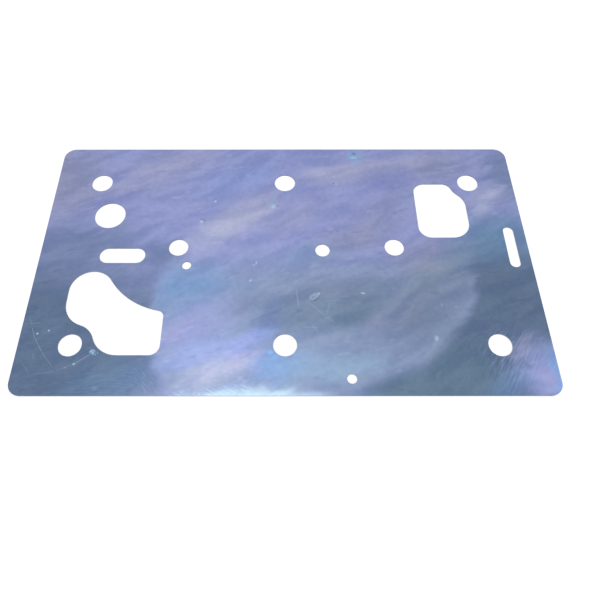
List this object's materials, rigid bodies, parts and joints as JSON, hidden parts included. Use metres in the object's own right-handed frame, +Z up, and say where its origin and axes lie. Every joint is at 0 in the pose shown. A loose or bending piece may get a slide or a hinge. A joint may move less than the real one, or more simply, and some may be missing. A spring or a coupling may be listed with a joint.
{
  "type": "compressor intermediate plate",
  "caption": "Thin flat steel plate with rounded corners, bolt holes, a kidney and a port opening and slots; it is clamped between a compressor's cylinder block and head to steer gas.",
  "frame": {"origin": "centre of the sheet's outline on its lower face", "axes": "+X along the long side towards the end slot, +Y towards the edge beside the port opening, +Z up through the sheet"},
  "size_m": [0.2, 0.116, 0.0005],
  "materials": {
    "zinc_plating": "satin zinc plating on steel sheet with a blue and violet passivation bloom"
  },
  "bodies": {
    "root": {"intermediate_plate": "zinc_plating"}
  },
  "joints": []
}
